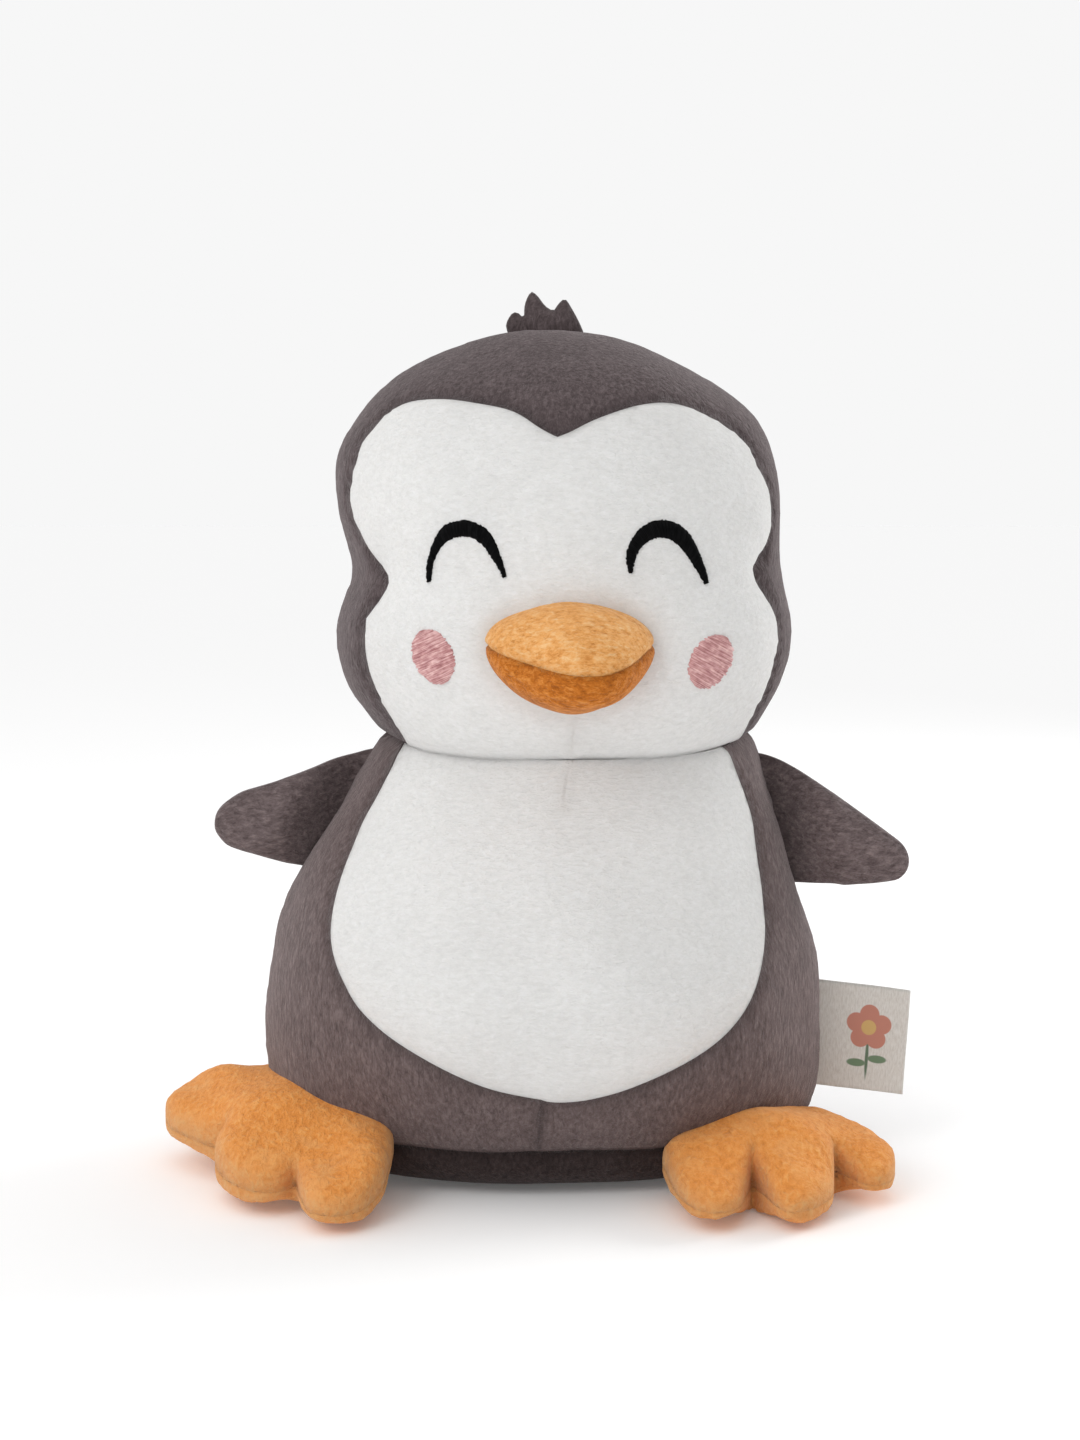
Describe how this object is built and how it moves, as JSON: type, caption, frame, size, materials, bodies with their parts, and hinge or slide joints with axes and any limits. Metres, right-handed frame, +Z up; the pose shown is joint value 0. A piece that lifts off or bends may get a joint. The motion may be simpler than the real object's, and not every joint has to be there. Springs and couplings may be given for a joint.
{
  "type": "plush penguin",
  "caption": "Sitting plush penguin with a stuffed head and body, flippers, webbed feet, padded beak, crest and side label; the soft limbs flex.",
  "frame": {"origin": "middle of the footprint box on the resting surface, under the base panel", "axes": "+Z up to the crest, -Y the way the penguin faces, +X its own left side"},
  "size_m": [0.2214, 0.1416, 0.2602],
  "materials": {
    "taupe_plush": "matte",
    "white_plush": "matte",
    "orange_plush": "matte",
    "black_thread": "satin",
    "pink_thread": "satin",
    "woven_ribbon": "matte",
    "fibre_fill": "matte"
  },
  "bodies": {
    "torso": {"belly_panel": "white_plush", "body_front_left": "taupe_plush", "body_front_right": "taupe_plush", "body_back_left": "taupe_plush", "body_back_right": "taupe_plush", "base_panel": "taupe_plush", "body_stuffing": "fibre_fill"},
    "head": {"face_panel": "white_plush", "head_front": "taupe_plush", "head_back_left": "taupe_plush", "head_back_right": "taupe_plush", "head_stuffing": "fibre_fill", "eye_right": "black_thread", "eye_left": "black_thread", "cheek_right": "pink_thread", "cheek_left": "pink_thread", "beak_upper": "orange_plush", "beak_lower": "orange_plush", "beak_stuffing": "fibre_fill"},
    "crest": {"crest_front": "taupe_plush", "crest_back": "taupe_plush"},
    "wing_right": {"wing_right_front": "taupe_plush", "wing_right_back": "taupe_plush", "wing_right_stuffing": "fibre_fill"},
    "wing_left": {"wing_left_front": "taupe_plush", "wing_left_back": "taupe_plush", "wing_left_stuffing": "fibre_fill"},
    "foot_right": {"foot_right_top": "orange_plush", "foot_right_sole": "orange_plush", "foot_right_stuffing": "fibre_fill"},
    "foot_left": {"foot_left_top": "orange_plush", "foot_left_sole": "orange_plush", "foot_left_stuffing": "fibre_fill"},
    "side_label": {"label": "woven_ribbon"}
  },
  "joints": [
    {"name": "head_nod", "type": "hinge", "parent": "torso", "child": "head", "pos_m": [0.00743, 0.00762, 0.0885], "axis": [1, 0, 0], "range_deg": [-10, 10], "stiffness_Nm_per_rad": 1},
    {"name": "crest_flex", "type": "hinge", "parent": "head", "child": "crest", "pos_m": [0.00113, 0.00862, 0.2484], "axis": [1, 0, 0], "range_deg": [-25, 25], "stiffness_Nm_per_rad": 0.0004},
    {"name": "wing_right_flap", "type": "hinge", "parent": "torso", "child": "wing_right", "pos_m": [-0.06487, -0.00338, 0.106], "axis": [0, 1, 0], "range_deg": [-30, 45], "stiffness_Nm_per_rad": 0.03},
    {"name": "wing_left_flap", "type": "hinge", "parent": "torso", "child": "wing_left", "pos_m": [0.07163, -0.00338, 0.104], "axis": [0, -1, 0], "range_deg": [-30, 45], "stiffness_Nm_per_rad": 0.03},
    {"name": "foot_right_flex", "type": "hinge", "parent": "torso", "child": "foot_right", "pos_m": [-0.06637, -0.01838, 0.012], "axis": [-0.6606, 0.7507, 0], "range_deg": [0, 30], "stiffness_Nm_per_rad": 0.1},
    {"name": "foot_left_flex", "type": "hinge", "parent": "torso", "child": "foot_left", "pos_m": [0.05963, -0.02238, 0.012], "axis": [-0.722, -0.6919, 0], "range_deg": [0, 30], "stiffness_Nm_per_rad": 0.1},
    {"name": "label_flap", "type": "hinge", "parent": "torso", "child": "side_label", "pos_m": [0.08523, 0.00762, 0.036], "axis": [0, 0, 1], "range_deg": [-60, 60], "stiffness_Nm_per_rad": 0.0005}
  ]
}
